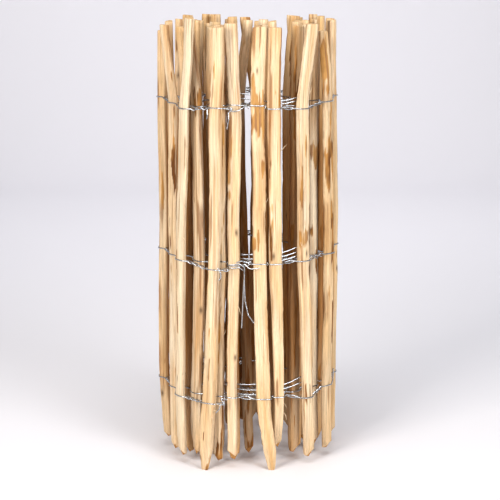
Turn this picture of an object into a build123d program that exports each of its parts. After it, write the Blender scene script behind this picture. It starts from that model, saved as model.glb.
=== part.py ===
from build123d import *
import math
import os

# Stakes: split lengths of hazel, sawn at the head and hewn narrower at the foot
stake_length = 1000.0
stake_width = 27.0
stake_thickness = 20.0
taper_length = 46.0
foot_share = 0.78
head_skew = 5.0
lean_step = 1.0

# Line wires: two strands in each of three rows, crossing between the stakes
wire_diameter = 2.5
wire_clearance = 0.25
pinch_reach = 9.0
least_twist = 15.0
short_tail = 36.0
hooked_tail = 24.0
curved_tail = 134.0
long_tail = 142.0
row_shares = {"bottom": 0.165, "middle": 0.475, "top": 0.823}

# Roll: the fence wound from the outer end inward
outer_radius = 213.0
turn_slack = 9.5
gap_step = 1.0
outer_end_angle = -24.0

# Sizes that follow from the ones above
wire_half = wire_diameter * math.sqrt(math.pi) / 4
wire_seat = wire_half + wire_clearance
wire_lift = wire_half + wire_clearance / 2
wire_second_seat = wire_seat + 2 * wire_half + wire_clearance
turn_pitch = stake_thickness + 2 * (wire_diameter + 2 * wire_clearance) + turn_slack
row_heights = {row: share * stake_length for row, share in row_shares.items()}

# Clear gap from each stake to the next one inward in gap steps, a line for each turn
gaps = (
    66, 26, 53, 54, 37, 33, 31, 34, 58, 31, 27, 22, 77, 55, 37, 4, 24, 4,
    28, 14, 59, 43, 42, 34, 32, 56, 40, 39, 42, 43, 26, 56,
    30, 45, 45, 41, 13, 32, 53, 23, 20, 19, 52,
    27, 36, 37,
)

# Split outlines as shares of width and thickness; the first edge is the split face
half_round = ((-0.50, -0.44), (0.42, -0.50), (0.50, -0.12), (0.27, 0.40), (-0.14, 0.50), (-0.45, 0.16))
quarter = ((-0.50, -0.28), (0.08, -0.50), (0.50, -0.36), (0.43, 0.14), (0.08, 0.50), (-0.40, 0.26))
slab = ((-0.44, -0.46), (0.48, -0.50), (0.50, 0.22), (0.28, 0.50), (-0.34, 0.47), (-0.50, 0.05))
outlines = (half_round, slab, quarter)

# The stakes seen at the front and in its gaps, by number from the outer end. Each list runs foot, bottom row,
# middle row, top row, head: shift along the wire and shift outward in lean steps, and width share
shown = {
    1: dict(along=(-26, -15, 0, 5, 12), wide=(0.55, 1.22, 0.95, 1.12, 1.06), foot=0, head=-2, split_out=True),
    2: dict(along=(2, -5, 0, 14, 28), out=(0, 1, 0, -3, -10), wide=(0.9, 1.12, 1.15, 1.2, 1.1), thick=0.9,
            foot=18, head=13, split_out=True),
    3: dict(along=(0, 0, 0, 4, -14), out=(-9, -9, -9, -9, 4), wide=(0.7, 0.88, 0.9, 0.92, 0.95),
            foot=15, head=-5, split_out=False),
    4: dict(out=(-5, 3, 0, 1, 0), wide=(0.7, 0.9, 0.85, 0.85, 0.8), thick=1.15, foot=22, head=-22, split_out=True),
    9: dict(along=(0, 0, 0, 9, 37), foot=12, head=-4),
    13: dict(out=(0, 0, 0, -3, -8), wide=(0.8, 0.9, 0.95, 1.0, 1.0), foot=20, head=-2, split_out=False),
    14: dict(along=(0, 0, 0, -8, -22), out=(0, 0, 0, -2, -7), wide=(1.1, 1.35, 1.35, 1.35, 1.1), thick=1.1,
             foot=16, head=-17, split_out=False),
    15: dict(along=(19, 12, 0, -7, 20), wide=(0.9, 1.05, 1.1, 1.15, 1.1), foot=14, head=0, split_out=True),
    16: dict(along=(10, 8, 0, -5, -2), out=(-12, -4, 0, 0, 0), wide=(0.5, 0.85, 1.06, 1.12, 1.1),
             foot=45, head=-5, split_out=True),
    17: dict(along=(28, 8, 0, -4, -2), out=(8, 3, 0, 0, 0), wide=(0.58, 1.2, 1.12, 1.15, 1.22),
             foot=0, head=-3, split_out=True),
    18: dict(along=(-6, -7, 0, 1.5, -8), wide=(0.8, 0.85, 1.02, 1.08, 1.15), foot=25, head=3, split_out=True),
    19: dict(along=(-11, -10, 0, 1, -7), wide=(0.85, 0.85, 0.9, 0.85, 0.85), foot=12, head=0, split_out=False),
    20: dict(along=(-15, -11, 0, -6, -26), wide=(0.55, 1.2, 1.25, 1.2, 1.05), thick=0.9, foot=14, head=-15,
             split_out=True),
    21: dict(along=(0, 0, 0, -6, -24), wide=(0.8, 0.9, 0.95, 0.9, 0.85), foot=10, head=-10, split_out=False),
    24: dict(wide=(0.9, 1.2, 1.2, 1.2, 1.1)),
    25: dict(along=(-24, -22, -12, 0, 4), wide=(0.8, 1.0, 1.0, 1.0, 0.9), foot=8, head=-6, split_out=True),
    26: dict(along=(0, 0, 0, 0, 0), foot=14, head=-12),
    30: dict(out=(5, 3, 0, 0, 4), wide=(0.8, 0.9, 0.9, 0.9, 0.8), foot=20, head=-20, split_out=False),
    38: dict(along=(9, 8, 4, 0, 0)),
    39: dict(along=(20, 17, 11, -4, -9)),
    40: dict(along=(2, 4, 5, 6, -10)),
    45: dict(along=(18, 14, 4, -5, 15)),
}

# Stakes behind the front that also stand on the ground
grounded = (5, 8, 11, 23, 27)

up = Vector(0, 0, 1)


# Even scatter between -0.5 and 0.5 for a stake number and a kind of size
def scatter(number, kind):
    return (number * 0.618034 + kind * 0.414214) % 1.0 - 0.5


# One stake's sizes, its place round the roll and its directions along the wire and outward
class Stake:
    def __init__(self, number):
        own = shown.get(number, {})
        lean = scatter(number, 1)
        bow = scatter(number, 2)
        girth = 1.0 + 0.24 * scatter(number, 3)
        self.number = number
        along = own.get("along", (10 * lean, 6 * lean, 0, 7 * bow, 14 * bow))
        out = own.get("out", (3 * bow, 0, 0, 0, 3 * lean))
        self.along = [lean_step * shift for shift in along]
        self.out = [lean_step * shift for shift in out]
        self.wide = own.get("wide", (foot_share * girth, girth, girth, 0.97 * girth, 0.92 * girth))
        foot = 0 if number in grounded else own.get("foot", 14 + 16 * scatter(number, 4))
        self.foot = lean_step * foot
        self.head = stake_length + lean_step * own.get("head", 18 * scatter(number, 5))
        self.split_out = own.get("split_out", scatter(number, 6) > 0)
        self.outline = outlines[number % len(outlines)]
        self.thick = stake_thickness * own.get("thick", 1.0 - 0.12 * (0.5 + scatter(number, 7)))
        self.width = stake_width * self.wide[2]

    def place(self, angle):
        turned = math.radians(outer_end_angle - angle)
        radius = outer_radius - turn_pitch * angle / 360
        self.tangent = Vector(math.cos(turned), math.sin(turned), 0)
        self.outward = Vector(math.sin(turned), -math.cos(turned), 0)
        self.centre = self.outward * radius

    # A point beside the stake: along the wire, outward, and its height
    def beside(self, along, out, height):
        return self.centre + self.tangent * along + self.outward * out + up * height

    # Corners of the split section in the stake's own directions at one station
    def section(self, along, out, width, thick):
        side = -1 if self.split_out else 1
        return [(along + u * width, out + side * v * thick) for u, v in self.outline]

    def row_section(self, row):
        at = 1 + list(row_heights).index(row)
        return self.section(self.along[at], self.out[at], self.wide[at] * stake_width, self.thick)

    # The stake's reach at a wire row: least and greatest along, least and greatest outward
    def reach(self, row):
        corners = self.row_section(row)
        alongs = [a for a, _ in corners]
        outs = [o for _, o in corners]
        return min(alongs), max(alongs), min(outs), max(outs)

    def solid(self):
        lower = (self.foot + taper_length) / row_heights["bottom"]
        lower = min(lower, 0.85)
        shoulder_height = lower * row_heights["bottom"]
        mix = (shoulder_height - self.foot) / (row_heights["bottom"] - self.foot)
        along = self.along[0] + mix * (self.along[1] - self.along[0])
        out = self.out[0] + mix * (self.out[1] - self.out[0])
        wide = stake_width * (0.12 * self.wide[0] + 0.88 * self.wide[1])
        foot_thick = self.thick * (0.3 + 0.7 * min(1.0, self.wide[0]))
        rings = []
        foot = self.section(self.along[0], self.out[0], self.wide[0] * stake_width, foot_thick)
        rings.append([self.beside(a, o, self.foot) for a, o in foot])
        shoulder = self.section(along, out, wide, self.thick)
        rings.append([self.beside(a, o, shoulder_height) for a, o in shoulder])
        for row, height in row_heights.items():
            rings.append([self.beside(a, o, height) for a, o in self.row_section(row)])
        head = self.section(self.along[4], self.out[4], self.wide[4] * stake_width, self.thick)
        skew = head_skew * scatter(self.number, 8) / stake_width
        rings.append([self.beside(a, o, self.head + skew * (a - self.along[4])) for a, o in head])
        return Solid.make_loft([Wire.make_polygon(ring, close=True) for ring in rings], True)


# Stand every stake on the spiral, each one gap further in than the last
def wind():
    stakes = [Stake(number) for number in range(1, len(gaps) + 2)]
    angle = 0.0
    stakes[0].place(angle)
    for stake, follower, gap in zip(stakes, stakes[1:], gaps):
        inner_radius = outer_radius - turn_pitch * angle / 360 - stake_thickness / 2
        step = (stake.width + follower.width) / 2 + gap * gap_step
        angle += math.degrees(step / inner_radius)
        follower.place(angle)
    return stakes


# Free ends of the strands at the outer end stake, from their tips to the stake. The middle pair
# reaches over the stake it is hooked to and hangs down in the gap beyond; the others hang short
def tail(stakes, row, strand, height):
    first = stakes[0]
    _, right, _, _ = first.reach(row)
    twist = first.beside(right + pinch_reach, 0, height)
    reach = pinch_reach
    if row != "middle":
        if strand == "a":
            tip = first.beside(right + 1.5 * reach, 0.3 * reach, height - short_tail)
            drop = first.beside(right + 1.8 * reach, 0.6 * reach, height - reach)
            return [tip, drop, first.beside(right + 1.7 * reach, 0.5 * reach, height), twist]
        tip = first.beside(right + 1.5 * reach, -1.3 * reach, height - hooked_tail)
        return [tip, first.beside(right + 1.3 * reach, -0.8 * reach, height - 0.6 * reach), twist]
    hook = stakes[17]
    left, right, _, face = hook.reach(row)
    over = face + wire_second_seat
    near = hook.beside(left - wire_seat, over + wire_half, height)
    far = hook.beside(right + wire_seat, over, height)
    if strand == "a":
        bend = hook.beside(right + 1.4 * reach, over, height)
        drop = hook.beside(right + 1.5 * reach, over + 0.2 * reach, height - 1.3 * reach)
        swing = hook.beside(right + 1.3 * reach, over + 0.1 * reach, height - 0.64 * curved_tail)
        tip = hook.beside(right + 2 * reach, over + 0.5 * reach, height - curved_tail)
        return [tip, swing, drop, bend, far, near, twist]
    drop = hook.beside(right + 0.6 * reach, over - 0.7 * reach, height - reach)
    return [hook.beside(right + 0.5 * reach, over - 0.8 * reach, height - long_tail), drop, far, near, twist]


# The line of one strand: round the outside of one stake, the inside of the next, crossing its
# partner in each gap, one of them a wire's height above the other
def strand_line(stakes, row, strand):
    height = row_heights[row] + (wire_lift if strand == "a" else -wire_lift)
    outside = 0 if strand == "a" else 1
    points = tail(stakes, row, strand, height)
    for at, stake in enumerate(stakes):
        left, right, back, front = stake.reach(row)
        out = front + wire_seat if at % 2 == outside else back - wire_seat
        points.append(stake.beside(right + wire_seat, out, height))
        points.append(stake.beside(left - wire_seat, out, height))
        middle = (back + front) / 2
        leave = stake.beside(left - pinch_reach, middle, height)
        if at + 1 == len(stakes):
            points.append(leave)
            points.append(stake.beside(left - 3 * pinch_reach, middle, height))
            break
        after = stakes[at + 1]
        _, next_right, next_back, next_front = after.reach(row)
        next_middle = (next_back + next_front) / 2
        enter = after.beside(next_right + pinch_reach, next_middle, height)
        if (leave - enter).dot(after.tangent) > least_twist:
            points.append(leave)
            points.append(enter)
        else:
            here = stake.beside(left, middle, height)
            there = after.beside(next_right, next_middle, height)
            points.append((here + there) * 0.5)
    return points


# Square-sided wire along a line of points, its corners mitred. Worked from the level inner end,
# so that the hanging tails carry on with the sideways direction they left the twist with
def wire_solid(points):
    line = points[::-1]
    runs = [(line[at + 1] - line[at]).normalized() for at in range(len(line) - 1)]
    rings = []
    side = runs[0].cross(up).normalized()
    for at, point in enumerate(line):
        behind = runs[max(at - 1, 0)]
        ahead = runs[min(at, len(runs) - 1)]
        run = (ahead + behind).normalized()
        if math.hypot(run.X, run.Y) > 0.5:
            side = run.cross(up)
        side = (side - run * side.dot(run)).normalized()
        across = side * (wire_half / max(0.6, run.dot(ahead)))
        tall = side.cross(run) * wire_half
        rings.append([point + across + tall, point - across + tall, point - across - tall, point + across - tall])
    faces = [flat(rings[0]), flat(rings[-1])]
    for near, far in zip(rings, rings[1:]):
        for one in range(len(near)):
            two = (one + 1) % len(near)
            faces.append(flat([near[one], near[two], far[two]]))
            faces.append(flat([near[one], far[two], far[one]]))
    solid = Solid(Shell(faces))
    return solid if solid.volume > 0 else Solid(Shell([-face for face in faces]))


def flat(corners):
    return Face(Wire.make_polygon(corners, close=True))


stakes = wind()
pieces = {f"stake_{stake.number:02d}": stake.solid() for stake in stakes}
for row in row_heights:
    for strand in ("a", "b"):
        pieces[f"{row}_wire_{strand}"] = wire_solid(strand_line(stakes, row, strand))

# Bring the middle of the footprint to the origin
box = Compound(children=[Solid(piece.wrapped) for piece in pieces.values()]).bounding_box()
shift = Location((-box.center().X, -box.center().Y, -box.min.Z))

os.makedirs("parts", exist_ok=True)
for node, piece in pieces.items():
    export_step(piece.moved(shift), f"parts/{node}.step")
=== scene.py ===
import math
from types import SimpleNamespace

import bpy
import numpy as np
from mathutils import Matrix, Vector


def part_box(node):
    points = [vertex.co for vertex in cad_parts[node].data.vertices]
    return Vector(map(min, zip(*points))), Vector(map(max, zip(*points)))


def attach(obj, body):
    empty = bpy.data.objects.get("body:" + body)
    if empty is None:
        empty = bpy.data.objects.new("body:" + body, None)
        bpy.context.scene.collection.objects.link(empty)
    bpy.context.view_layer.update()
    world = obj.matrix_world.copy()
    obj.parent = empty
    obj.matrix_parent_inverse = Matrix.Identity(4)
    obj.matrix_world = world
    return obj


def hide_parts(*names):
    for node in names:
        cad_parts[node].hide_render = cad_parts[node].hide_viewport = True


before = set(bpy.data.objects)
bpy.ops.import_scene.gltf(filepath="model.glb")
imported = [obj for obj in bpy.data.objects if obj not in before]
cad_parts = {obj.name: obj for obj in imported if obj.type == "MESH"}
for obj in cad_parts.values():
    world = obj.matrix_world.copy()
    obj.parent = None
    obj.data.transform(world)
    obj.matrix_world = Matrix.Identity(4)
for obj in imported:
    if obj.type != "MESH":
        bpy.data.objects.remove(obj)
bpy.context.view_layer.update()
stakeNodes = sorted(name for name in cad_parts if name.startswith("stake"))
rowNames = ("top", "middle", "bottom")
mm = 0.001
print("frame loaded:", len(stakeNodes), "stakes")


# linear colour from an sRGB hex: each channel c becomes ((c + 0.055) / 1.055) ^ 2.4
def hexRgb(code):
    c = np.array([int(code[k:k + 2], 16) for k in (1, 3, 5)]) / 255.0
    return np.where(c <= 0.04045, c / 12.92, ((c + 0.055) / 1.055) ** 2.4)


# smooth step from 0 at a to 1 at b: 3t^2 - 2t^3
def smooth(a, b, x):
    t = np.clip((x - a) / (b - a), 0.0, 1.0)
    return t * t * (3.0 - 2.0 * t)


# a share that never falls below its least: least plus the share of what is left of 1
def atLeast(least, share):
    return least + (1 - least) * share


# one colour laid over another: base times 1 - amount, plus over times amount
def blend(base, over, amount):
    amount = np.asarray(amount)[..., None]
    return base * (1 - amount) + over * amount


# random field on a grid of cells, eased between its corners and joined up around u; u, v in 0..1
def field(u, v, cellsU, cellsV, rng):
    grid = rng.uniform(-1.0, 1.0, (cellsV + 2, cellsU))
    fu = (u % 1.0) * cellsU
    fv = np.clip(v, 0.0, 1.0) * cellsV
    iu = np.floor(fu).astype(int)
    iv = np.floor(fv).astype(int)
    wu = smooth(0.0, 1.0, fu - iu)
    wv = smooth(0.0, 1.0, fv - iv)
    low = grid[iv, iu % cellsU] * (1 - wu) + grid[iv, (iu + 1) % cellsU] * wu
    high = grid[iv + 1, iu % cellsU] * (1 - wu) + grid[iv + 1, (iu + 1) % cellsU] * wu
    return low * (1 - wv) + high * wv


# running average along an axis, weights exp(-k^2 / 2 sigma^2), ends held or, with wrap, joined
def soften(values, sigma, axis=0, wrap=False):
    reach = max(1, int(math.ceil(3 * sigma)))
    k = np.arange(-reach, reach + 1)
    weights = np.exp(-0.5 * (k / sigma) ** 2)
    weights /= weights.sum()
    pad = [(0, 0)] * values.ndim
    pad[axis] = (reach, reach)
    wide = np.pad(values, pad, mode="wrap" if wrap else "edge")
    size = values.shape[axis]
    return sum(w * np.take(wide, np.arange(size) + n, axis=axis) for n, w in enumerate(weights))


# object from points and faces of three or four corners, with a colour for each point and some flat faces
def meshObject(name, points, quads, tris, tint=None, flat=()):
    mesh = bpy.data.meshes.new(name)
    corners = np.concatenate([np.asarray(quads).ravel(), np.asarray(tris).ravel()]).astype(np.int32)
    starts = np.concatenate([np.arange(len(quads)) * 4, len(quads) * 4 + np.arange(len(tris)) * 3])
    mesh.vertices.add(len(points))
    mesh.vertices.foreach_set("co", np.asarray(points, np.float32).ravel())
    mesh.loops.add(len(corners))
    mesh.loops.foreach_set("vertex_index", corners)
    mesh.polygons.add(len(starts))
    mesh.polygons.foreach_set("loop_start", starts.astype(np.int32))
    even = np.ones(len(starts), bool)
    even[np.asarray(flat, int)] = False
    mesh.polygons.foreach_set("use_smooth", even)
    mesh.update(calc_edges=True)
    if tint is not None:
        layer = mesh.color_attributes.new("tint", "FLOAT_COLOR", "POINT")
        rgba = np.concatenate([tint, np.ones((len(tint), 1))], axis=1)
        layer.data.foreach_set("color", rgba.astype(np.float32).ravel())
    obj = bpy.data.objects.new(name, mesh)
    bpy.context.scene.collection.objects.link(obj)
    return obj


# faces of a closed tube grid: quads between rings, then a fan on each end
def tubeFaces(rings, around):
    i = np.arange(rings - 1)[:, None] * around
    j = np.arange(around)[None, :]
    k = (j + 1) % around
    quads = np.stack([i + j, i + k, i + around + k, i + around + j], axis=-1).reshape(-1, 4)
    n = np.arange(around)
    m = (n + 1) % around
    last = (rings - 1) * around
    centre = rings * around
    tris = np.concatenate([np.stack([m, n, np.full(around, centre)], axis=1),
                           np.stack([last + n, last + m, np.full(around, centre + 1)], axis=1)])
    return quads, tris


# corner points where a mesh crosses a level: each triangle edge cut at its share of the height
def crossing(tri, z):
    found = []
    for a, b in ((0, 1), (1, 2), (2, 0)):
        za, zb = tri[:, a, 2], tri[:, b, 2]
        hit = (za < z) != (zb < z)
        share = (z - za[hit]) / (zb[hit] - za[hit])
        found.append(tri[hit, a, :2] + share[:, None] * (tri[hit, b, :2] - tri[hit, a, :2]))
    return np.concatenate(found)


# distance from a centre to a ringed outline along each angle: ray against the side it meets
def rayOut(points, centre, angles):
    rel = points - centre
    bearing = np.arctan2(rel[:, 1], rel[:, 0])
    order = np.argsort(bearing)
    rel, bearing = rel[order], bearing[order]
    near = np.searchsorted(bearing, angles, side="right") - 1
    p = rel[near]
    q = rel[(near + 1) % len(rel)]
    way = np.stack([np.cos(angles), np.sin(angles)], axis=1)
    side = q - p
    top = p[:, 0] * side[:, 1] - p[:, 1] * side[:, 0]
    under = way[:, 0] * side[:, 1] - way[:, 1] * side[:, 0]
    return top / np.where(np.abs(under) < 1e-12, 1e-12, under)


# triangles of a CAD node, in metres: the mesh's points taken by each triangle's three numbers
def nodeTriangles(node):
    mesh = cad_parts[node].data
    mesh.calc_loop_triangles()
    co = np.empty(len(mesh.vertices) * 3)
    mesh.vertices.foreach_get("co", co)
    ids = np.empty(len(mesh.loop_triangles) * 3, np.int32)
    mesh.loop_triangles.foreach_get("vertices", ids)
    return co.reshape(-1, 3)[ids.reshape(-1, 3)]


# colours of dry split hazel, and the brown of the painted shade inside the roll
wood = {
    "cream": hexRgb("#F4E1C2"),
    "straw": hexRgb("#E1B984"),
    "tan": hexRgb("#C18A4A"),
    "ochre": hexRgb("#BE8538"),
    "brown": hexRgb("#8C5520"),
    "bark": hexRgb("#6E4119"),
    "shade": hexRgb("#9A6226"),
    "knot": hexRgb("#3F2410"),
}
# stakes whose look the photo shows: share of bark left on, and how pale they are, 0 to 1; for stakes 19
# and 30 the paleness is partly painted light, paler than their wood where the lamps leave them in shade
seenBark = {1: 0.08, 2: 0.0, 3: 0.08, 4: 0.10, 13: 0.22, 14: 0.26, 15: 0.16, 16: 0.10, 17: 0.16, 18: 0.08,
            19: 0.40, 20: 0.10, 30: 0.22}
seenPaleAndPaintedLight = {1: 0.50, 2: 1.0, 3: 0.66, 4: 0.50, 13: 0.42, 14: 0.36, 15: 0.62, 16: 0.42, 17: 0.46, 18: 0.52,
            19: 0.5, 20: 0.55, 30: 0.8}
# bark the photo shows on single stakes: turn from straight outward and height, then half its reach each
# way, in degrees and mm
seenPatches = {
    17: [(0, 800, 118, 58), (-40, 525, 60, 26), (35, 690, 20, 24), (-55, 870, 20, 40)],
    15: [(-25, 528, 85, 25), (20, 735, 20, 46), (-55, 640, 16, 60)],
    14: [(-75, 915, 46, 70), (-30, 800, 18, 46), (30, 700, 14, 60), (-20, 590, 16, 30)],
    30: [(-10, 705, 90, 32)],
    19: [(0, 760, 60, 90), (10, 560, 40, 80), (-20, 330, 50, 110)],
    4: [(75, 600, 18, 50)],
    1: [(25, 690, 14, 26), (-30, 905, 12, 40)],
    16: [(60, 838, 22, 18), (0, 850, 14, 14), (-50, 600, 12, 60)],
    18: [(-60, 720, 30, 90)],
}
# the side of the foot left longest, as a turn from straight outward in radians, for stakes at the front
slants = {2: 2.2, 3: 2.3, 4: 2.5, 13: 3.9, 14: 3.9, 15: 4.4, 16: 4.5, 18: 1.7, 19: 1.75, 20: 2.1}
# mesh rows and the form's wear, lengths in metres; a pair is where a change starts and where it is full,
# but alsoFine lists stakes, and knots and knotRange are the limits of random draws
stakeLook = {
    "seed": 100, "aroundFront": 52, "alongFront": 340, "aroundInner": 30, "alongInner": 120,
    "alsoFine": (21, 31), "outerTurn": 20, "alsoOuter": 30,
    "corners": 6, "headSkew": 0.008, "inside": 2e-5,
    "evenCentre": 0.014, "evenOutline": 0.007, "easeCorners": 0.55, "edgeWidth": 2.4, "edgeDepth": 0.0012,
    "splitLean": 0.98, "splitFacing": (-0.25, 0.45),
    "wander": 0.0018, "wanderFrom": (0.0, 0.06), "rag": 0.0022, "ragFrom": (-0.1, 0.9),
    "ragMix": {"rag": 0.6, "fray": 0.4}, "ridge": 0.0010, "ridgeSway": 0.05, "ridgeOffSplit": 0.45,
    "fibre": 0.00045, "fibreOffSplit": 0.3, "flake": 0.0009, "flakeFrom": (0.25, 0.36),
    "crack": 0.0008, "crackFrom": (0.56, 0.80), "crackSway": 0.02,
    "footCalm": (0.03, 0.12), "footCalmLeast": 0.25, "footSound": (0.03, 0.10),
    "knots": (1, 4), "knotRange": (0.08, 0.95), "knotWide": 0.045, "knotLong": 0.010,
    "knotSwell": 0.0016, "swellFall": 0.4, "knotSink": 0.0012, "sinkFall": 2, "darkFall": 1.6,
    "footWear": 0.14, "footWearHigh": 0.003, "headWear": 0.06, "headWearHigh": 0.002,
    "barkThick": 0.0006, "headTilt": 0.16, "lip": 0.93,
    "liftedFoot": 0.002, "cutLift": 0.002, "cutSlope": 0.009, "cutHalf": 0.013, "cutHigh": 0.012,
}
# how far each colour is laid over the wood, and where on the stake or in its pattern it comes in; the two
# unseen pairs are the least and the spread of a random draw
stakeColour = {
    "unseenPale": (0.14, 0.3), "unseenBark": (0.1, 0.4), "toneDrift": 0.34, "toneFleck": 0.16,
    "hue": np.array([0.0, 0.02, 0.06]), "hueRange": (-1, 0.4),
    "footClean": (0.06, 0.20), "footCleanLeast": 0.3, "palest": (0.7, 1.0), "palestLess": 0.5,
    "warm": 0.5, "warmFrom": (0.15, 0.9), "streak": 0.45, "streakFrom": (0.35, 0.85),
    "brownEdge": 0.75, "brownEdgeFrom": (-0.1, 0.6), "crack": 0.7,
    "barkMix": {"bark": 0.62, "barkRim": 0.4, "barkCrumb": 0.22},
    "barkLimit": 0.66, "barkOffSplit": 0.34, "barkFade": (0.0, 0.07), "headClean": (0.01, 0.07),
    "barkToneMix": {"barkTone": 1.0, "barkSpeck": 0.4}, "barkToneFrom": (-0.5, 0.7),
    "tearMix": {"tear": 0.7, "tearFine": 0.5}, "patch": 0.85, "patchRim": 0.75, "patchFade": (0.0, 0.3),
    "patchStreakFrom": (-0.8, 0.3),
    # painted shade inside the roll: its strength, where it falls by turn and height, how deep by stake and
    # drift
    "paintedShade": 0.86, "shadeBack": (0.1, 0.8), "shadeHead": (0.97, 0.68), "shadeFoot": (0.06, 0.30),
    "shadeFootLeast": 0.4, "depthStake": 0.3, "depthDrift": 0.2,
    "knot": 0.85, "soil": 0.25, "soilHigh": 0.05, "endGrain": 0.9,
}
# cells around and along a stake for each random pattern; below 1, a share of the points around
patternCells = {
    "bend": (1, 9), "rag": (5, 34), "fray": (7, 90), "sway": (2, 5), "ridge": (11, 5), "flake": (8, 9),
    "fibre": (0.6, 14), "stray": (2, 9), "crack": (0.45, 7), "drift": (4, 7), "fleck": (9, 16),
    "warm": (6, 6), "streak": (0.5, 6), "brownEdge": (3, 14), "bark": (5, 6), "barkRim": (13, 13),
    "barkCrumb": (25, 36), "barkTone": (9, 16), "barkSpeck": (24, 50), "tear": (15, 16),
    "tearFine": (26, 44), "patchStreak": (24, 14), "depth": (9, 6),
}
rollCentre = np.mean([np.mean(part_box(n), axis=0)[:2] for n in stakeNodes], axis=0)
rings = {}


# a stake's random pattern by name: the field over its turn and height, shifted round by a drift
def pattern(stake, name, drift=0.0):
    around, along = patternCells[name]
    if around < 1:
        around = int(stake.around * around)
    return field(stake.u + drift, stake.v, around, along, stake.rng)


# weighted sum of a stake's random patterns, drawn in the order given
def mixture(stake, weights):
    return sum(weight * pattern(stake, name) for name, weight in weights.items())


# the CAD outline of a stake at even levels: its centre, and the distance out along even turns from
# straight outward, both averaged along the grain
def sliceStake(node):
    number = int(node[-2:])
    front = number in seenPaleAndPaintedLight or number in stakeLook["alsoFine"]
    around = stakeLook["aroundFront" if front else "aroundInner"]
    along = stakeLook["alongFront" if front else "alongInner"]
    tri = nodeTriangles(node)
    low = tri[:, :, 2].min()
    head = np.unique(np.round(tri[:, :, 2].ravel(), 6))[-stakeLook["corners"]:]
    high = head[head > tri[:, :, 2].max() - stakeLook["headSkew"]].min()
    share = np.linspace(0.0, 1.0, along)
    levels = low + (high - low) * share
    cuts = [crossing(tri, z) for z in np.clip(levels, low + stakeLook["inside"], high - stakeLook["inside"])]
    centres = np.array([(c.min(axis=0) + c.max(axis=0)) / 2 for c in cuts])
    outward = centres[along // 2] - rollCentre
    outward /= np.linalg.norm(outward)
    bearing = math.atan2(outward[1], outward[0])
    angles = np.linspace(0.0, 2 * np.pi, around, endpoint=False)
    turned = (angles + bearing + np.pi) % (2 * np.pi) - np.pi
    radius = np.array([rayOut(c, o, turned) for c, o in zip(cuts, centres)])
    step = (high - low) / (along - 1)
    radius = soften(radius, stakeLook["evenOutline"] / step)
    radius = soften(radius, stakeLook["easeCorners"] * around / stakeLook["aroundFront"], axis=1, wrap=True)
    return SimpleNamespace(
        number=number, rng=np.random.default_rng(stakeLook["seed"] + number), around=around, along=along,
        low=low, high=high, share=share, levels=levels, tall=levels[:, None] - low,
        outward=outward, angles=angles, turned=turned,
        centres=soften(centres, stakeLook["evenCentre"] / step), radius=radius,
        u=np.broadcast_to(angles / (2 * np.pi), radius.shape),
        v=np.broadcast_to(share[:, None], radius.shape))


# where a stake is split and where it has a long edge: the flat split face is the side the section's
# weight lies towards, and an edge stands out from its outline averaged round
def readSection(stake):
    look = stakeLook
    section = stake.radius[stake.along // 2]
    width = np.cos(stake.angles) * section
    weight = np.sum(width * section ** 2) / np.sum(section ** 2)
    splitOut = weight > (width.max() + width.min()) / 2 * look["splitLean"]
    facing = np.cos(stake.angles) if splitOut else -np.cos(stake.angles)
    stake.split = smooth(*look["splitFacing"], np.broadcast_to(facing, stake.radius.shape))
    rounded = soften(stake.radius, look["edgeWidth"] * stake.around / look["aroundFront"], axis=1, wrap=True)
    stake.edge = np.clip((stake.radius - rounded) / look["edgeDepth"], 0.0, 1.0)


# wear of a stake's form: slow crookedness of its centre, then ragged edges, ridges along the grain, torn
# flakes, fine fibre, cracks and knots added to its radius, and worn ends; ridges, flakes and cracks fade
# towards the foot
def wearStake(stake):
    look, split, tall = stakeLook, stake.split, stake.tall
    for axis in (0, 1):
        bend = field(np.zeros(stake.along), stake.share, *patternCells["bend"], stake.rng)
        stake.centres[:, axis] += look["wander"] * (bend * smooth(*look["wanderFrom"], stake.share))
    radius = stake.radius
    rag = mixture(stake, look["ragMix"])
    radius = radius - look["rag"] * stake.edge * smooth(*look["ragFrom"], rag)
    calm = atLeast(look["footCalmLeast"], smooth(*look["footCalm"], tall))
    ridges = pattern(stake, "ridge", look["ridgeSway"] * pattern(stake, "sway"))
    radius = radius + look["ridge"] * calm * ridges * atLeast(look["ridgeOffSplit"], split)
    radius = radius - look["flake"] * calm * smooth(*look["flakeFrom"], pattern(stake, "flake")) * split
    radius = radius + look["fibre"] * pattern(stake, "fibre") * atLeast(look["fibreOffSplit"], split)
    cracks = pattern(stake, "crack", look["crackSway"] * pattern(stake, "stray"))
    stake.cracks = smooth(*look["crackFrom"], cracks) * smooth(*look["footSound"], tall)
    radius = radius - look["crack"] * stake.cracks
    stake.knots = np.zeros_like(radius)
    for _ in range(stake.rng.integers(*look["knots"])):  # a low swelling with a sunk middle
        atU, atV = stake.rng.uniform(0, 1), stake.rng.uniform(*look["knotRange"])
        du = (stake.u - atU + 0.5) % 1.0 - 0.5
        dv = (stake.v - atV) * (stake.high - stake.low)
        far = (du / look["knotWide"]) ** 2 + (dv / look["knotLong"]) ** 2
        radius = radius + look["knotSwell"] * np.exp(-far * look["swellFall"])
        radius = radius - look["knotSink"] * np.exp(-far * look["sinkFall"])
        stake.knots = np.maximum(stake.knots, np.exp(-far * look["darkFall"]))
    foot = look["footWear"] * np.exp(-tall / look["footWearHigh"])
    head = look["headWear"] * np.exp((stake.levels[:, None] - stake.high) / look["headWearHigh"])
    stake.radius = radius * (1 - foot) * (1 - head)


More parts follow.
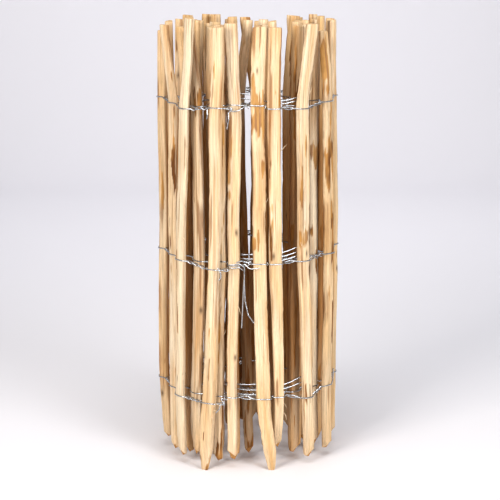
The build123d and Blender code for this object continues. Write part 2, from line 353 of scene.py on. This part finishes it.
# pale wood: cream over straw by a tone that drifts along the stake, then warm areas, streaks and brown
# edges, weaker at the hewn foot and on the palest stakes, and cracks laid over it
def paleWood(stake):
    colour, rng = stakeColour, stake.rng
    least, spread = colour["unseenPale"]
    # for stakes 19 and 30 this paleness is partly painted light
    pale = seenPaleAndPaintedLight.get(stake.number, least + spread * rng.uniform())
    drift = colour["toneDrift"] * pattern(stake, "drift")
    tone = np.clip(pale + drift + colour["toneFleck"] * pattern(stake, "fleck"), 0, 1)
    tint = blend(wood["straw"], wood["cream"], tone)
    tint = tint * (1 + colour["hue"] * rng.uniform(*colour["hueRange"]))
    hewn = atLeast(colour["footCleanLeast"], smooth(*colour["footClean"], stake.tall))
    hewn = hewn * (1 - colour["palestLess"] * smooth(*colour["palest"], pale))
    warm = hewn * smooth(*colour["warmFrom"], pattern(stake, "warm"))
    tint = blend(tint, wood["tan"], colour["warm"] * warm)
    streak = hewn * smooth(*colour["streakFrom"], pattern(stake, "streak"))
    tint = blend(tint, wood["tan"], colour["streak"] * streak)
    brownEdge = hewn * stake.edge * smooth(*colour["brownEdgeFrom"], pattern(stake, "brownEdge"))
    tint = blend(tint, wood["brown"], colour["brownEdge"] * brownEdge)
    return blend(tint, wood["brown"], colour["crack"] * stake.cracks)


# bark left on: where a sum of patterns passes a limit set by the stake's share of bark, off the split
# face and the head; then the patches the photo shows, each an oval with its rim torn by noise and
# streaked along the grain
def barkOver(stake, tint):
    colour, rng = stakeColour, stake.rng
    least, spread = colour["unseenBark"]
    barkShare = seenBark.get(stake.number, least + spread * rng.uniform())
    rough = mixture(stake, colour["barkMix"])
    limit = (colour["barkLimit"] - barkShare) + colour["barkOffSplit"] * stake.split
    bark = smooth(*colour["barkFade"], rough - limit)
    bark = bark * smooth(*colour["headClean"], stake.high - stake.levels[:, None])
    barkTone = smooth(*colour["barkToneFrom"], mixture(stake, colour["barkToneMix"]))
    tint = blend(tint, blend(wood["bark"], wood["tan"], barkTone), bark)
    patch = np.zeros_like(stake.radius)
    for turn, height, halfTurn, halfHeight in seenPatches.get(stake.number, ()):
        aside = (np.degrees(stake.angles) - turn + 180) % 360 - 180
        far = (aside[None, :] / halfTurn) ** 2 + ((stake.levels[:, None] / mm - height) / halfHeight) ** 2
        torn = mixture(stake, colour["tearMix"])
        patch = np.maximum(patch, smooth(*colour["patchFade"], colour["patchRim"] - far + torn))
    streaks = smooth(*colour["patchStreakFrom"], pattern(stake, "patchStreak"))
    tint = blend(tint, blend(wood["brown"], wood["ochre"], streaks), colour["patch"] * patch)
    stake.radius = stake.radius + stakeLook["barkThick"] * np.maximum(bark, patch)
    return tint


# painted shade: brown laid over the wood where shade falls inside the roll, on an inner turn between head
# and foot and on the inward backs of the outer one, lighter towards the heads and the foot; then dark knots,
# and soil fading up from the foot as exp(-height)
def paintedShadeKnotsSoil(stake, tint):
    colour = stakeColour
    levels = stake.levels[:, None]
    shadedSide = np.ones((1, stake.around))
    if stake.number <= stakeLook["outerTurn"] or stake.number == stakeLook["alsoOuter"]:
        shadedSide = smooth(*colour["shadeBack"], -np.cos(stake.angles))[None, :]
    foot = atLeast(colour["shadeFootLeast"], smooth(*colour["shadeFoot"], levels))
    hidden = smooth(*colour["shadeHead"], levels) * foot
    depth = 1.0 + colour["depthStake"] * stake.rng.uniform(-1, 1)
    depth = depth + colour["depthDrift"] * pattern(stake, "depth")
    # painted shade: the shade's brown, deeper or lighter at random, laid over the wood
    tint = blend(tint, wood["shade"] * depth[..., None], colour["paintedShade"] * shadedSide * hidden)
    tint = blend(tint, wood["knot"], colour["knot"] * stake.knots)
    return blend(tint, wood["tan"], colour["soil"] * np.exp(-stake.tall / colour["soilHigh"]))


# points of a stake: its radius carried round its centre at each level, the head a little tilted, and the
# foot's end cut on the slant, raised with distance from its lowest side
def stakePoints(stake):
    look, rng, radius = stakeLook, stake.rng, stake.radius
    x = stake.centres[:, :1] + radius * np.cos(stake.turned)
    y = stake.centres[:, 1:] + radius * np.sin(stake.turned)
    z = np.broadcast_to(stake.levels[:, None], radius.shape).copy()
    tilt = radius[-1] * np.cos(stake.angles + rng.uniform(0, 6))
    z[-1] += tilt * rng.uniform(0.0, look["headTilt"])
    if stake.low > look["liftedFoot"]:
        lowest = slants.get(stake.number, rng.uniform(0, 6))
        lie = radius * np.cos(stake.angles - lowest) / look["cutHalf"]
        z += (look["cutLift"] + look["cutSlope"] * (1 - lie)) * np.exp(-stake.tall / look["cutHigh"])
    return np.stack([x, y, z], axis=-1)


# one stake: its worn and coloured grid, closed by sawn faces whose rings just inside each end carry the
# end grain's colour, so that bark stops at the edge
def buildStake(node):
    stake = sliceStake(node)
    around, along = stake.around, stake.along
    readSection(stake)
    wearStake(stake)
    tint = paintedShadeKnotsSoil(stake, barkOver(stake, paleWood(stake)))
    points = stakePoints(stake)
    rings[stake.number] = (points, stake.centres, stake.levels, stake.outward)
    capLow = np.append(points[0].mean(axis=0)[:2], stake.low)
    capHigh = points[-1].mean(axis=0)
    capped = (capLow, points[0]), (capHigh, points[-1])
    inside = [cap + (ring - cap) * stakeLook["lip"] for cap, ring in capped]
    endTints = [wood[name] * stakeColour["endGrain"] for name in ("tan", "straw")]
    ends = [np.broadcast_to(endTint, (1, around, 3)) for endTint in endTints]
    grid = np.concatenate([inside[:1], points, inside[1:]])
    gridTint = np.concatenate([ends[0], tint, ends[1]])
    quads, tris = tubeFaces(along + 2, around)
    allPoints = np.concatenate([grid.reshape(-1, 3), [capLow, capHigh]])
    allTint = np.concatenate([gridTint.reshape(-1, 3), [wood["tan"], wood["straw"]]])
    flat = np.concatenate([np.arange(around), np.arange(along * around, (along + 3) * around)])
    obj = meshObject("hazelStake%02d" % stake.number, allPoints, quads, tris, allTint, flat)
    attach(obj, "root")
    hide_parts(node)
    return obj


stakeObjects = [buildStake(node) for node in stakeNodes]
print("stakes built:", sum(len(o.data.polygons) for o in stakeObjects), "faces")

# wire and its twist, lengths in metres but unseenStray in mm: half a turn's length, how near a stake the
# twist starts, how loosely it lies
wireLook = {
    "radius": 0.0014, "sides": 9, "step": 0.0021, "halfTurn": 0.016, "reach": 0.006, "reachShare": 0.36,
    "loose": 0.0030, "looseRange": (0.6, 1.3), "apart": 1.12, "bow": 0.003, "turnPoints": 9,
    "startPast": 0.022, "endPast": 0.04, "easeStrand": 0.0014, "easeShort": 0.003,
    "rowDrop": 0.0012, "unseenStray": 18,
}


# outer or inner edge of a set of points: the taut line over them along their first coordinate
def tautLine(points, sign):
    order = np.lexsort((points[:, 1], points[:, 0]))
    chain = []
    for p in points[order] * [1.0, sign]:
        while len(chain) > 1 and (chain[-1][0] - chain[-2][0]) * (p[1] - chain[-2][1]) \
                - (chain[-1][1] - chain[-2][1]) * (p[0] - chain[-2][0]) >= 0:
            chain.pop()
        chain.append(p)
    return np.array(chain) * [1.0, sign]


# a stake at a wire row: its place, its two level directions and its outline grown by the wire
def stakeAtRow(number, height):
    points, centres, levels, outward = rings[number]
    at = int(np.argmin(np.abs(levels - height)))
    near = points[max(at - 1, 0):at + 2]
    centre = centres[at]
    tangent = np.array([-outward[1], outward[0]])
    rel = near[:, :, :2] - centre
    reach = np.linalg.norm(rel, axis=2).max(axis=0)
    way = rel[len(near) // 2] / np.linalg.norm(rel[len(near) // 2], axis=1)[:, None]
    outline = np.stack([(way * reach[:, None]) @ tangent, (way * reach[:, None]) @ outward], axis=1)
    side = np.roll(outline, -1, axis=0) - np.roll(outline, 1, axis=0)
    normal = np.stack([side[:, 1], -side[:, 0]], axis=1)
    normal /= np.linalg.norm(normal, axis=1)[:, None]
    normal *= np.sign(np.sum(normal * outline, axis=1).sum())
    return {"centre": centre, "tangent": tangent, "outward": outward,
            "outline": outline + normal * wireLook["radius"]}


# level position in the roll of a point given along and out from a stake
def placed(spot, local):
    return spot["centre"] + local[..., :1] * spot["tangent"] + local[..., 1:2] * spot["outward"]


# evenly spaced points along a line, rounded by a running average
def evenLine(points, step, sigma):
    run = np.concatenate([[0.0], np.cumsum(np.linalg.norm(np.diff(points, axis=0), axis=1))])
    count = max(4, int(run[-1] / step))
    even = np.linspace(0.0, run[-1], count)
    line = np.stack([np.interp(even, run, points[:, k]) for k in range(3)], axis=1)
    first, last = line[0].copy(), line[-1].copy()
    line = soften(line, sigma / step)
    line[0], line[-1] = first, last
    return line


# round wire or sliver along a line: a circle, of one radius or one for each point, carried from point to
# point without turning about the line
def tubeAlong(line, radius, sides):
    ahead = np.gradient(line, axis=0)
    ahead /= np.linalg.norm(ahead, axis=1)[:, None]
    across = np.empty_like(line)
    side = np.cross(ahead[0], [0.31, 0.22, 0.93])  # any direction that no line starts along
    for k, way in enumerate(ahead):
        side = side - way * (side @ way)
        side = side / math.sqrt(side @ side)
        across[k] = side
    other = np.cross(ahead, across)
    turn = np.linspace(0, 2 * np.pi, sides, endpoint=False)
    spokes = np.cos(turn)[None, :, None] * across[:, None] + np.sin(turn)[None, :, None] * other[:, None]
    ringPoints = line[:, None] + np.broadcast_to(radius, len(line))[:, None, None] * spokes
    quads, tris = tubeFaces(len(line), sides)
    return np.concatenate([ringPoints.reshape(-1, 3), [line[0], line[-1]]]), quads, tris


# height of each row, from the tops of the CAD strands; how far single stakes' wires stray from it, in mm
rowTop = {row: 0.5 * sum(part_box(row + "_wire_" + s)[1][2] for s in "ab") for row in rowNames}
rowHeight = {row: top - wireLook["rowDrop"] for row, top in rowTop.items()}
strays = {
    "top": {1: 0, 2: -6, 3: 0, 4: 6, 13: 4, 14: 3, 15: -5, 16: -3, 17: 5, 18: 4, 19: 2, 20: -3},
    "middle": {1: -9, 2: 0, 3: 3, 4: 4, 13: 5, 14: 5, 15: 2, 16: 0, 17: 0, 18: -3, 19: 3, 20: -2},
    "bottom": {1: -6, 2: -6, 3: 2, 4: 6, 13: 6, 14: 5, 15: -6, 16: 2, 17: 1, 18: 3, 19: 2, 20: -1},
}


# where each twist starts and ends: a short reach from the stakes beside its gap; one more past the inner
# end, and the last in the list before the first stake
def twistEnds(spots):
    count = len(spots)
    lefts = [placed(s, np.array([s["outline"][:, 0].min(), np.mean(s["outline"][:, 1])])) for s in spots]
    rights = [placed(s, np.array([s["outline"][:, 0].max(), np.mean(s["outline"][:, 1])])) for s in spots]
    twists = []
    for k in range(count):
        a = lefts[k]
        b = rights[k + 1] if k + 1 < count else a - spots[k]["tangent"] * wireLook["endPast"]
        gap = np.linalg.norm(b - a)
        ends = min(wireLook["reach"], wireLook["reachShare"] * gap)
        way = (b - a) / gap
        twists.append((a + way * ends, b - way * ends))
    start = rights[0] + spots[0]["tangent"] * wireLook["startPast"]
    twists.append((start, rights[0] + spots[0]["tangent"] * wireLook["reach"]))
    return twists


# one strand through a twist from p to q: cos(phase) of a wire out from the other strand and sin(phase) of
# the slack up
def twistRun(p, q, heights, sideOut, loose):
    length = np.linalg.norm(q - p)
    way = (q - p) / length
    out = np.array([-way[1], way[0]])
    if out @ (p - rollCentre) < 0:
        out = -out
    halves = max(1, 2 * int(length / wireLook["halfTurn"] / 2) + 1)
    turns = np.linspace(0, 1, wireLook["turnPoints"] * halves + 1)
    phase = np.pi * halves * turns
    swing = sideOut * (wireLook["radius"] * wireLook["apart"]) * np.cos(phase)
    level = p + turns[:, None] * (q - p) + swing[:, None] * out
    rise = heights[0] + (heights[1] - heights[0]) * turns + sideOut * loose * np.sin(phase)
    return np.column_stack([level, rise])


# one strand over a stake from enter to leave: taut over the outline on that side, bowed up or down as a
# half sine
def overRun(spot, enter, leave, sideOver, height, bow):
    local = [np.array([(e - spot["centre"]) @ spot["tangent"], (e - spot["centre"]) @ spot["outward"]])
             for e in (enter, leave)]
    cloud = spot["outline"]
    cloud = cloud[(cloud[:, 0] < local[0][0]) & (cloud[:, 0] > local[1][0])]
    over = tautLine(np.concatenate([cloud, local]), sideOver)[::-1]
    lift = bow * np.sin(np.pi * np.linspace(0, 1, len(over)))
    return np.column_stack([placed(spot, over), height + lift])[1:-1]


# both strands of a row: twist, over a stake, twist and so on inward, the two always on opposite sides
def rowLines(row):
    rng = np.random.default_rng(len(row))
    height = rowHeight[row]
    count = len(stakeNodes)
    unseen = wireLook["unseenStray"]
    stray = np.array([strays[row].get(n, unseen * (rng.uniform() - 0.5)) for n in range(1, count + 1)]) * mm
    spots = [stakeAtRow(n, height + stray[n - 1]) for n in range(1, count + 1)]
    twists = twistEnds(spots)
    lines = {}
    for strand in (0, 1):
        pieces = []
        for k in range(-1, count):
            heights = height + stray[max(k, 0)], height + stray[min(k + 1, count - 1)]
            sideOut = 1.0 if (k + strand) % 2 == 0 else -1.0  # outside for even steps of strand 0
            loose = wireLook["loose"] * rng.uniform(*wireLook["looseRange"])
            twist = twistRun(*twists[k], heights, sideOut, loose)
            pieces.append(twist)
            if k + 1 == count:
                break
            spot = spots[k + 1]
            leave = twists[k + 1][0] - sideOut * (wireLook["radius"] * wireLook["apart"]) * spot["outward"]
            bow = (rng.uniform() - 0.5) * wireLook["bow"]
            pieces.append(overRun(spot, twist[-1, :2], leave, -sideOut, heights[1], bow))
        lines[strand] = np.concatenate(pieces)
    return lines, spots


# loose ends at the fence's outer end: stake, then mm along and out from it and up from the row
tails = {
    ("top", 0): [(1, 30, 4, -9), (1, 31, 5, -22), (1, 27, 6, -44)],
    ("top", 1): [(1, 24, -4, 4), (18, -16, 8, -4), (18, -4, 16, -8), (18, 10, 15, -7), (18, 18, 8, -2),
                 (18, 26, 5, 5), (18, 31, 4, -3)],
    ("middle", 0): [(18, -10, 16, -1), (18, 4, 17, 1), (18, 15, 14, 2), (18, 25, 9, -6), (18, 25, 12, -40),
                    (18, 27, 13, -80), (18, 34, 15, -112), (18, 48, 18, -130)],
    ("middle", 1): [(18, -12, 15, -6), (18, 3, 17, -8), (18, 14, 12, -6), (18, 24, 5, -16), (18, 21, 6, -80),
                    (18, 18, 6, -146)],
    ("bottom", 0): [(1, 29, 3, -6), (1, 28, 6, -16), (1, 20, 8, -26)],
    ("bottom", 1): [(1, 26, -5, 4), (1, 33, -6, 5), (1, 41, -9, 2)],
}
# short cut ends beside other stakes, given the same way
looseEnds = [
    ("top", [(1, -17, 2, 2), (1, -19, 6, -6), (1, -17, 7, -15), (1, -19, 7, -24)]),
    ("bottom", [(14, 14, 8, 2), (14, 17, 10, 8), (14, 17, 11, 24), (14, 16, 11, 38)]),
    ("middle", [(1, 14, 14, -2), (1, 20, 13, -10), (1, 22, 12, -22), (1, 17, 14, -30)]),
    ("middle", [(18, 8, 15, 5), (18, 20, 12, 9), (18, 30, 9, 5), (18, 40, 3, 6)]),
    ("middle", [(18, 16, 8, -4), (18, 26, 10, 2), (18, 38, 14, -9), (18, 60, 17, -5)]),
]
# strands that show in a wide gap, in mm: where they start and end beside the stake on its left, how deep,
# how far they sag, then each one's row, stake and height above the row at the left and right
gapStrands = {
    "from": 4, "to": 60, "deep": -14, "sag": 2,
    "rises": [
        ("top", 18, 18, 16), ("top", 18, 28, 27), ("top", 16, 4, 10), ("top", 16, 10, 17),
        ("middle", 18, 9, 11), ("middle", 18, 18, 22), ("middle", 16, 10, 21), ("middle", 16, 18, 32),
        ("middle", 16, 2, 12), ("bottom", 18, 7, 6), ("bottom", 18, 18, 17), ("bottom", 18, 29, 31),
        ("bottom", 16, 12, 25), ("bottom", 16, 21, 38),
    ],
}


# a gap strand's points: from behind one stake to behind the next, sagging in the middle
def gapPath(stake, left, right):
    start, end, deep = gapStrands["from"], gapStrands["to"], gapStrands["deep"]
    middle = (left + right) / 2 - gapStrands["sag"]
    return [(stake, start, deep, left), (stake, (start + end) / 2, deep, middle), (stake, end, deep, right)]


# points of a path in the roll: each step laid along and out from its stake, and up from the row
def pathPoints(path, spots, row):
    flat = [placed(spots[number - 1], np.array([along, out]) * mm) for number, along, out, _ in path]
    rise = [rowHeight[row] + up * mm for _, _, _, up in path]
    return np.column_stack([flat, rise])


# a wire object along a line, rounded by a running average of the given reach
def wireObject(name, line, ease):
    even = evenLine(line, wireLook["step"], ease)
    obj = meshObject(name, *tubeAlong(even, wireLook["radius"], wireLook["sides"]))
    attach(obj, "root")
    return obj


wireObjects = []
for row in rowNames:
    lines, spots = rowLines(row)
    for strand in (0, 1):
        whole = np.concatenate([pathPoints(tails[(row, strand)], spots, row)[::-1], lines[strand]])
        obj = wireObject("%sStrand%s" % (row, "AB"[strand]), whole, wireLook["easeStrand"])
        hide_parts(row + "_wire_" + "ab"[strand])
        wireObjects.append(obj)
    shortRuns = [("LooseEnd", path) for name, path in looseEnds if name == row]
    shortRuns += [("GapStrand", gapPath(*spec)) for name, *spec in gapStrands["rises"] if name == row]
    for n, (kind, path) in enumerate(shortRuns):
        line = pathPoints(path, spots, row)
        wireObjects.append(wireObject("%s%s%d" % (row, kind, n + 1), line, wireLook["easeShort"]))
print("wires built:", sum(len(o.data.polygons) for o in wireObjects), "faces")


# splinters and lifted fibres, lengths in metres; for each sliver its stake, height in mm, turn from straight
# outward in degrees, then steps out, round and up in mm
splinters = {
    "thick": 0.00075, "sides": 5, "root": 0.002, "step": 0.0015, "ease": 0.003, "tip": 1.02, "cream": 0.6,
    "slivers": [
        (16, 724, 78, (9, 2, 10), (15, 3, 16)), (2, 530, 70, (6, 1, -3), (13, 2, -8)),
        (14, 536, 60, (6, 1, 3), (13, 2, 8)), (4, 446, -70, (4, 0, 6), (7, 1, 15)),
        (14, 500, 70, (7, 0, -8), (9, 1, -24), (2, 2, -34)), (1, 142, 60, (5, 1, 6), (9, 3, -2)),
        (1, 130, 55, (4, 1, -8), (3, 2, -20)), (1, 152, 65, (6, 2, 5), (8, 5, 12)),
        (16, 150, 70, (5, 1, -6), (9, 1, -14)), (16, 128, 60, (6, 1, -8), (7, 2, -22)),
        (17, 610, 75, (4, 0, 6), (7, 0, 13)), (15, 512, -60, (4, 0, 8), (8, 0, 12)),
        (18, 380, 72, (4, 0, -8), (6, 0, -20)), (19, 310, 60, (5, 0, 7), (8, 1, 14)),
        (2, 690, 72, (4, 0, 8), (7, 0, 18)), (20, 470, 70, (4, 0, 7), (7, 0, 15)),
        (15, 850, 72, (4, 0, 8), (6, 0, 16)), (14, 850, -50, (4, 0, -9), (5, 0, -20)),
    ],
}


# one sliver: from the stake's face through its steps, thinning to its tip as 1.02 - t^2
def sliver(number, height, turn, *steps):
    points, centres, levels, _ = rings[number]
    at = int(np.argmin(np.abs(levels - height * mm)))
    around = points.shape[1]
    on = points[at, int(round(turn / 360.0 * around)) % around]
    away = np.append(on[:2] - centres[at], 0.0)
    away /= np.linalg.norm(away)
    beside = np.array([-away[1], away[0], 0.0])
    path = [on - splinters["root"] * away, on]
    path += [on + (out * away + aside * beside + [0, 0, up]) * mm for out, aside, up in steps]
    line = evenLine(np.array(path), splinters["step"], splinters["ease"])
    share = np.linspace(0.0, 1.0, len(line))
    return tubeAlong(line, splinters["thick"] * (splinters["tip"] - share ** 2), splinters["sides"])


# all slivers as one object: each one's faces numbered on from the points before it
def buildSplinters():
    points, quads, tris, start = [], [], [], 0
    for spec in splinters["slivers"]:
        p, q, t = sliver(*spec)
        points.append(p)
        quads.append(q + start)
        tris.append(t + start)
        start += len(p)
    points = np.concatenate(points)
    tint = np.tile(blend(wood["straw"], wood["cream"], splinters["cream"]), (len(points), 1))
    obj = meshObject("hazelSplinters", points, np.concatenate(quads), np.concatenate(tris), tint)
    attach(obj, "root")
    return obj


stakeObjects.append(buildSplinters())
print("splinters built")


# adds one shader node with its settings; each input, by name or number, gets a value or a socket's link
def addNode(tree, kind, settings=None, inputs=None):
    node = tree.nodes.new(kind)
    for key, value in (settings or {}).items():
        setattr(node, key, value)
    for key, value in (inputs or {}).items():
        if isinstance(value, bpy.types.NodeSocket):
            tree.links.new(value, node.inputs[key])
        else:
            node.inputs[key].default_value = value
    return node


# grain of hazel: cell across and along in mm, detail, then the noise's range and the shade it turns into;
# real pores are finer than a pixel, so they are drawn wider to show
hazelGrain = {
    "fine": {"across": 1.1, "along": 55, "detail": 3.0, "noise": (0.3, 0.72), "shade": (0.74, 1.12)},
    "wide": {"across": 3.6, "along": 160, "detail": 2.0, "noise": (0.3, 0.7), "shade": (0.80, 1.12)},
    "pores": {"across": 0.7, "along": 9, "detail": 1.0, "noise": (0.62, 0.74), "shade": (1.0, 0.78)},
}
hazelLook = {"noiseRough": 0.6, "rough": 0.78, "gloss": 0.22, "bump": 0.55, "bumpDeep": 0.0007}


# dry split hazel, matt: the tint times the shade that each stretched noise turns into, with the sum of the
# fine and wide noises as a bump
def hazelMaterial():
    material = bpy.data.materials.new("split hazel")
    material.use_nodes = True
    tree = material.node_tree
    shader = tree.nodes["Principled BSDF"]
    coords = addNode(tree, "ShaderNodeTexCoord").outputs["Object"]
    colour = addNode(tree, "ShaderNodeVertexColor", {"layer_name": "tint"}).outputs["Color"]
    noises = {}
    for name, grain in hazelGrain.items():
        across, along = 1 / (grain["across"] * mm), 1 / (grain["along"] * mm)  # cells per metre
        cells = (across, across, along)
        laid = addNode(tree, "ShaderNodeMapping", None, {"Vector": coords, "Scale": cells})
        noises[name] = addNode(tree, "ShaderNodeTexNoise", None, {
            "Vector": laid.outputs["Vector"], "Scale": 1.0, "Detail": grain["detail"],
            "Roughness": hazelLook["noiseRough"],
        }).outputs["Fac"]
        shade = addNode(tree, "ShaderNodeMapRange", None, {
            "Value": noises[name], "From Min": grain["noise"][0], "From Max": grain["noise"][1],
            "To Min": grain["shade"][0], "To Max": grain["shade"][1],
        }).outputs["Result"]
        scaled = addNode(tree, "ShaderNodeVectorMath", {"operation": "SCALE"}, {0: colour, "Scale": shade})
        colour = scaled.outputs["Vector"]
    tree.links.new(colour, shader.inputs["Base Color"])
    shader.inputs["Roughness"].default_value = hazelLook["rough"]
    shader.inputs["Specular IOR Level"].default_value = hazelLook["gloss"]
    height = addNode(tree, "ShaderNodeMath", {"operation": "ADD"}, {0: noises["fine"], 1: noises["wide"]})
    bump = addNode(tree, "ShaderNodeBump", None, {
        "Height": height.outputs["Value"], "Strength": hazelLook["bump"], "Distance": hazelLook["bumpDeep"],
    })
    tree.links.new(bump.outputs["Normal"], shader.inputs["Normal"])
    return material


# zinc: patch size in mm, its two greys, and the noise's range with the roughness it turns into
zincLook = {
    "patch": 6.0, "detail": 2.0, "noiseRough": 0.6, "dull": "#7E8388", "bright": "#D4D7DA",
    "noise": (0.3, 0.7), "rough": (0.14, 0.30),
}


# hot-dipped zinc on wire: metal whose grey and roughness follow one noise, from dull and smooth to bright
# and rough
def zincMaterial():
    material = bpy.data.materials.new("galvanised wire")
    material.use_nodes = True
    tree = material.node_tree
    shader = tree.nodes["Principled BSDF"]
    coords = addNode(tree, "ShaderNodeTexCoord").outputs["Object"]
    cells = (1 / (zincLook["patch"] * mm),) * 3
    laid = addNode(tree, "ShaderNodeMapping", None, {"Vector": coords, "Scale": cells})
    patch = addNode(tree, "ShaderNodeTexNoise", None, {
        "Vector": laid.outputs["Vector"], "Scale": 1.0, "Detail": zincLook["detail"],
        "Roughness": zincLook["noiseRough"],
    }).outputs["Fac"]
    ramp = addNode(tree, "ShaderNodeValToRGB", None, {"Fac": patch})
    ramp.color_ramp.elements[0].color = (*hexRgb(zincLook["dull"]), 1)
    ramp.color_ramp.elements[1].color = (*hexRgb(zincLook["bright"]), 1)
    rough = addNode(tree, "ShaderNodeMapRange", None, {
        "Value": patch, "From Min": zincLook["noise"][0], "From Max": zincLook["noise"][1],
        "To Min": zincLook["rough"][0], "To Max": zincLook["rough"][1],
    })
    tree.links.new(ramp.outputs["Color"], shader.inputs["Base Color"])
    tree.links.new(rough.outputs["Result"], shader.inputs["Roughness"])
    shader.inputs["Metallic"].default_value = 1.0
    return material


hazel = hazelMaterial()
zinc = zincMaterial()
for obj in stakeObjects:
    obj.data.materials.append(hazel)
for obj in wireObjects:
    obj.data.materials.append(zinc)
print("materials set")

stageLook = {
    "front": -6.0, "turnAt": 3.7, "bend": 1.2, "bendPoints": 24, "top": 5.0, "half": 7.0,
    "paper": "#F5F4F8", "rough": 0.9, "gloss": 0.1,
}


# matt studio paper, floor running up into a backdrop: level, then a quarter turn, then upright
def buildStage():
    look = stageLook
    turn = np.linspace(0, np.pi / 2, look["bendPoints"])
    back = look["turnAt"] + look["bend"]
    y = np.concatenate([[look["front"]], look["turnAt"] + look["bend"] * np.sin(turn), [back]])
    z = np.concatenate([[0.0], look["bend"] * (1 - np.cos(turn)), [look["top"]]])
    left = np.column_stack([np.full(len(y), -look["half"]), y, z])
    right = left * [-1, 1, 1]
    n = np.arange(len(y) - 1)
    quads = np.stack([n, n + len(y), n + len(y) + 1, n + 1], axis=1)
    floor = meshObject("studioFloor", np.concatenate([left, right]), quads, np.empty((0, 3), int))
    material = bpy.data.materials.new("studio paper")
    material.use_nodes = True
    shader = material.node_tree.nodes["Principled BSDF"]
    shader.inputs["Base Color"].default_value = (*hexRgb(look["paper"]), 1)
    shader.inputs["Roughness"].default_value = look["rough"]
    shader.inputs["Specular IOR Level"].default_value = look["gloss"]
    floor.data.materials.append(material)


# a square soft light at a place, aimed at the middle of the roll or at another point: tilted up from
# straight down by the angle whose cosine is the fall over the distance, then turned to face the point
def softLight(name, place, size, power, colour, target=(0, 0, 0.5)):
    data = bpy.data.lights.new(name, "AREA")
    data.size = size
    data.energy = power
    data.color = hexRgb(colour)
    light = bpy.data.objects.new(name, data)
    light.location = place
    aim = np.array(target) - np.array(place)
    tilt = math.acos(-aim[2] / np.linalg.norm(aim))
    light.rotation_euler = (tilt, 0, math.atan2(aim[1], aim[0]) - math.pi / 2)
    bpy.context.scene.collection.objects.link(light)


# places and sizes in metres, power in watts
lightLook = {
    "keyLight": {"place": (-2.0, -3.0, 1.9), "size": 1.6, "power": 116, "colour": "#FFF9F2"},
    "fillLight": {"place": (2.2, -2.9, 1.5), "size": 1.5, "power": 90, "colour": "#FFFFFF"},
    "topLight": {"place": (0.0, -0.6, 3.2), "size": 1.4, "power": 40, "colour": "#FFFFFF"},
    "backdropLight": {"place": (0.0, 2.2, 3.6), "size": 2.2, "power": 60, "colour": "#FBFAFF",
                      "target": (0.0, 4.9, 1.6)},
    "rearLight": {"place": (0.6, 3.4, 2.9), "size": 1.6, "power": 14, "colour": "#FFFFFF"},
}
buildStage()
for name, look in lightLook.items():
    softLight(name, **look)

# the world lights matt surfaces dimly and shows brighter to the eye and in reflections
worldLook = {"colour": "#F2F2F8", "lights": 0.12, "shows": 0.50}
world = bpy.data.worlds.new("studio")
bpy.context.scene.world = world
world.use_nodes = True
worldTree = world.node_tree
lightPath = addNode(worldTree, "ShaderNodeLightPath")
seenDirect = addNode(worldTree, "ShaderNodeMath", {"operation": "MAXIMUM"}, {
    0: lightPath.outputs["Is Camera Ray"], 1: lightPath.outputs["Is Glossy Ray"],
})
strength = addNode(worldTree, "ShaderNodeMapRange", None, {
    "Value": seenDirect.outputs["Value"], "To Min": worldLook["lights"], "To Max": worldLook["shows"],
})
background = worldTree.nodes["Background"]
background.inputs["Color"].default_value = (*hexRgb(worldLook["colour"]), 1)
worldTree.links.new(strength.outputs["Result"], background.inputs["Strength"])

cameraLook = {"place": (0.0035, -3.700, 1.220), "down": 11.45, "lens": 117.1, "sensor": 36.0}
camera = bpy.data.objects.new("camera", bpy.data.cameras.new("camera"))
camera.location = cameraLook["place"]
camera.rotation_euler = (math.radians(90 - cameraLook["down"]), 0, 0)
camera.data.lens = cameraLook["lens"]
camera.data.sensor_width = cameraLook["sensor"]
bpy.context.scene.collection.objects.link(camera)
bpy.context.scene.camera = camera
bpy.context.scene.view_settings.view_transform = "Standard"
print("stage, lights and camera set")
